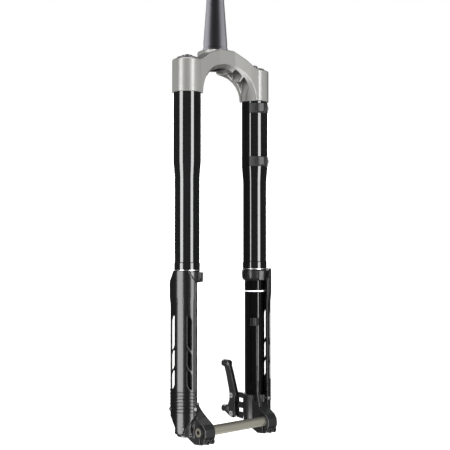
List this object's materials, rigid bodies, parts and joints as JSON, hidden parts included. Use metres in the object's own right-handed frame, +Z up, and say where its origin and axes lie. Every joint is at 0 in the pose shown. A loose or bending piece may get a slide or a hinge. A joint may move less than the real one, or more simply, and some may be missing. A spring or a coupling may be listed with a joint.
{
  "type": "suspension fork",
  "caption": "Upside-down single-crown suspension fork: crown and upper tubes over sliding stanchions with guards, dropouts, through axle and post brake mount.",
  "frame": {"origin": "on the steerer's axis inside the crown race seat, 5 mm above the crown's upper face; the seat runs from 5 mm below the origin to 1 mm above it", "axes": "+Z up the steerer, -Y to the front of the bicycle, +X to the rider's left (brake side)"},
  "size_m": [0.196, 0.108, 0.8305],
  "materials": {
    "crown_alloy": "satin machined, clear anodised",
    "graphite_alloy": "satin dark anodised",
    "gloss_black": "polished black anodised",
    "collar_black": "satin black",
    "stanchion_black": "polished hard black coating",
    "forged_black": "satin black, forged",
    "guard_plastic": "moulded, semi gloss",
    "clip_plastic": "moulded, satin",
    "seal_rubber": "matt",
    "foam": "open cell foam",
    "white_rubber": "matt white",
    "steel": "bright",
    "axle_alloy": "khaki grey anodised",
    "bushing_bronze": "plain",
    "inner_alloy": "turned",
    "shaft_steel": "ground and chromed",
    "spacer_plastic": "moulded",
    "dial_black": "black anodised",
    "dial_silver": "clear anodised"
  },
  "bodies": {
    "chassis": {"crown": "crown_alloy", "steerer_tube": "graphite_alloy", "upper_tube_left": "gloss_black", "upper_tube_right": "gloss_black", "seal_collar_left": "collar_black", "seal_collar_right": "collar_black", "top_cap_left": "collar_black", "top_cap_right": "collar_black", "dust_wiper_left": "seal_rubber", "dust_wiper_right": "seal_rubber", "oil_seal_left": "seal_rubber", "oil_seal_right": "seal_rubber", "foam_ring_left": "foam", "foam_ring_right": "foam", "retaining_ring_left": "steel", "retaining_ring_right": "steel", "upper_bushing_left": "bushing_bronze", "upper_bushing_right": "bushing_bronze", "lower_bushing_left": "bushing_bronze", "lower_bushing_right": "bushing_bronze", "damper_cartridge": "inner_alloy", "air_cartridge": "inner_alloy", "damper_seal_head": "inner_alloy", "air_seal_head": "inner_alloy", "compression_valve": "inner_alloy", "air_valve_stem": "inner_alloy", "volume_spacers": "spacer_plastic", "hose_clip_upper": "clip_plastic", "hose_clip_lower": "clip_plastic", "hose_clip_screws": "steel"},
    "lowers": {"stanchion_left": "stanchion_black", "stanchion_right": "stanchion_black", "dropout_left": "forged_black", "dropout_right": "forged_black", "stanchion_guard_left": "guard_plastic", "stanchion_guard_right": "guard_plastic", "foot_bolt_left": "steel", "foot_bolt_right": "steel", "damper_shaft": "shaft_steel", "damper_piston": "inner_alloy", "air_shaft": "shaft_steel", "air_piston": "inner_alloy", "top_out_bumper": "seal_rubber", "bottom_out_bumper": "seal_rubber", "guard_screws": "steel", "brake_bracket": "forged_black", "bracket_bolts": "steel", "axle_pinch_bolts": "steel", "hose_guide": "forged_black"},
    "travel_ring_body": {"travel_ring": "white_rubber"},
    "axle_washer": {"axle_washer": "steel"},
    "through_axle": {"through_axle": "axle_alloy"},
    "low_speed_dial": {"low_speed_dial": "dial_silver"},
    "high_speed_dial": {"high_speed_dial": "dial_black"},
    "rebound_dial": {"rebound_dial": "dial_silver"},
    "air_valve_cap": {"air_valve_cap": "dial_black"},
    "air_valve_pin": {"air_valve_pin": "inner_alloy"}
  },
  "joints": [
    {"name": "fork_travel", "type": "slide", "parent": "chassis", "child": "lowers", "axis": [0, 0, 1], "range_m": [0, 0.16], "stiffness_N_per_m": 4500},
    {"name": "travel_ring_slide", "type": "slide", "parent": "lowers", "child": "travel_ring_body", "axis": [0, 0, 1], "range_m": [-0.1445, 0]},
    {"name": "axle_withdraw", "type": "slide", "parent": "lowers", "child": "axle_washer", "axis": [-1, 0, 0], "range_m": [0, 0.16]},
    {"name": "axle_turn", "type": "hinge", "parent": "axle_washer", "child": "through_axle", "pos_m": [0, -0.052, -0.59], "axis": [1, 0, 0], "continuous": true},
    {"name": "low_speed_dial_turn", "type": "hinge", "parent": "chassis", "child": "low_speed_dial", "pos_m": [-0.07075, -0.016, -0.026], "axis": [0, 0, 1], "range_deg": [0, 330]},
    {"name": "high_speed_dial_turn", "type": "hinge", "parent": "chassis", "child": "high_speed_dial", "pos_m": [-0.07075, -0.016, -0.027], "axis": [0, 0, 1], "range_deg": [0, 120]},
    {"name": "rebound_dial_turn", "type": "hinge", "parent": "lowers", "child": "rebound_dial", "pos_m": [-0.07075, -0.016, -0.599], "axis": [0, 0, 1], "range_deg": [0, 330]},
    {"name": "valve_cap_lift", "type": "slide", "parent": "chassis", "child": "air_valve_cap", "axis": [0, 0, 1], "range_m": [0, 0.02]},
    {"name": "valve_pin_press", "type": "slide", "parent": "chassis", "child": "air_valve_pin", "axis": [0, 0, -1], "range_m": [0, 0.0015], "stiffness_N_per_m": 1200, "springref_m": -0.001}
  ],
  "couplings": [
    {"joint": "travel_ring_slide", "follows": "fork_travel", "ratio": -0.9}
  ]
}
